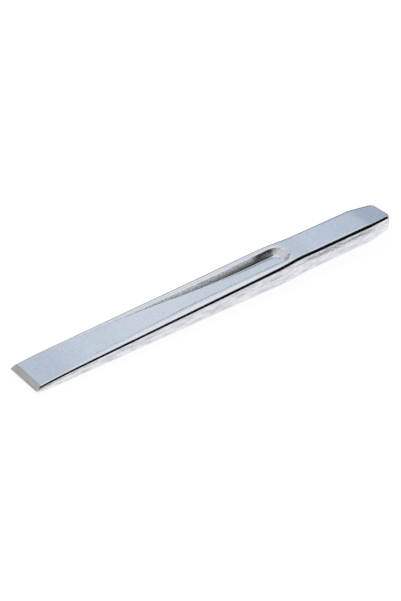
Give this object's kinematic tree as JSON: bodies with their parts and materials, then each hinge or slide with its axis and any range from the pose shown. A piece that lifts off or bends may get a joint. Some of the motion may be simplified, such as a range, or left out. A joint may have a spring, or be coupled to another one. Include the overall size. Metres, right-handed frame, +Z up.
{
  "type": "flat chisel",
  "caption": "Ribbed flat cold chisel: wedge blade with ground cutting edge, web between rails, plain shank and tapered striking head.",
  "frame": {"origin": "middle of the chisel's footprint, on the bench that the underside of its wedge rests on", "axes": "+X from the cutting edge towards the striking head, +Z up from the bench, +Y across the blade"},
  "size_m": [0.25, 0.024, 0.0142],
  "materials": {
    "plated_steel": "satin chrome plate over forged steel, ground bare at the cutting edge"
  },
  "bodies": {
    "root": {"flat_chisel": "plated_steel"}
  },
  "joints": []
}
